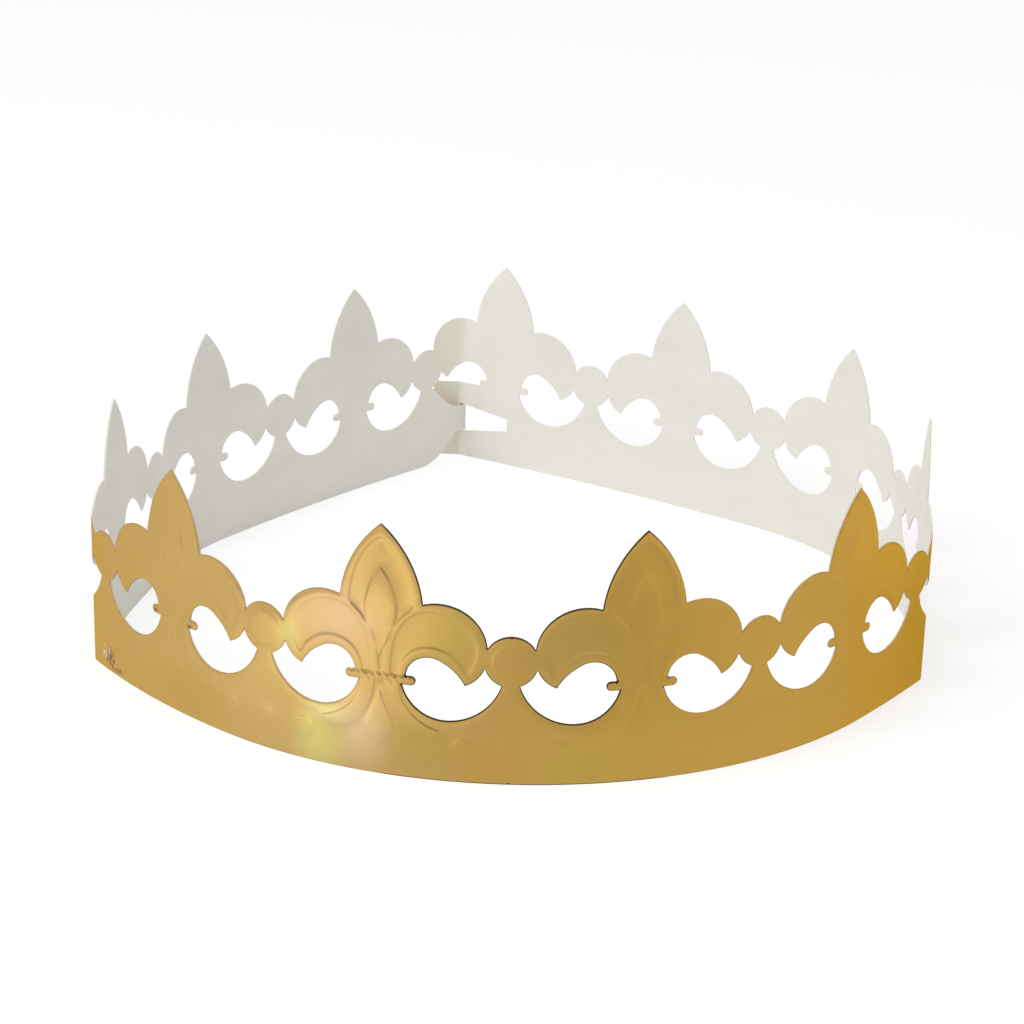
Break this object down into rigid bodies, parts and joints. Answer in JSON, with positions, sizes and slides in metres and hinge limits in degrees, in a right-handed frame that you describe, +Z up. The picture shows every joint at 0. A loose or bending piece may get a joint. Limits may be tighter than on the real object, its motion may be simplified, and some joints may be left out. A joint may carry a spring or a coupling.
{
  "type": "paper crown",
  "caption": "Die-cut card crown: a ring of fleurs-de-lis joined at beads over a plain band, hooked shut at the back by a tongue in a window.",
  "frame": {"origin": "centre of the bounding box, on the surface the crown stands on", "axes": "+Z up, +Y from the plain front to the closure at the back, +X to the right seen from the front"},
  "size_m": [0.1832, 0.2036, 0.0538],
  "materials": {
    "foil_card": "satin gold foil outside, off-white board inside"
  },
  "bodies": {
    "root": {"crown_strip": "foil_card"}
  },
  "joints": []
}
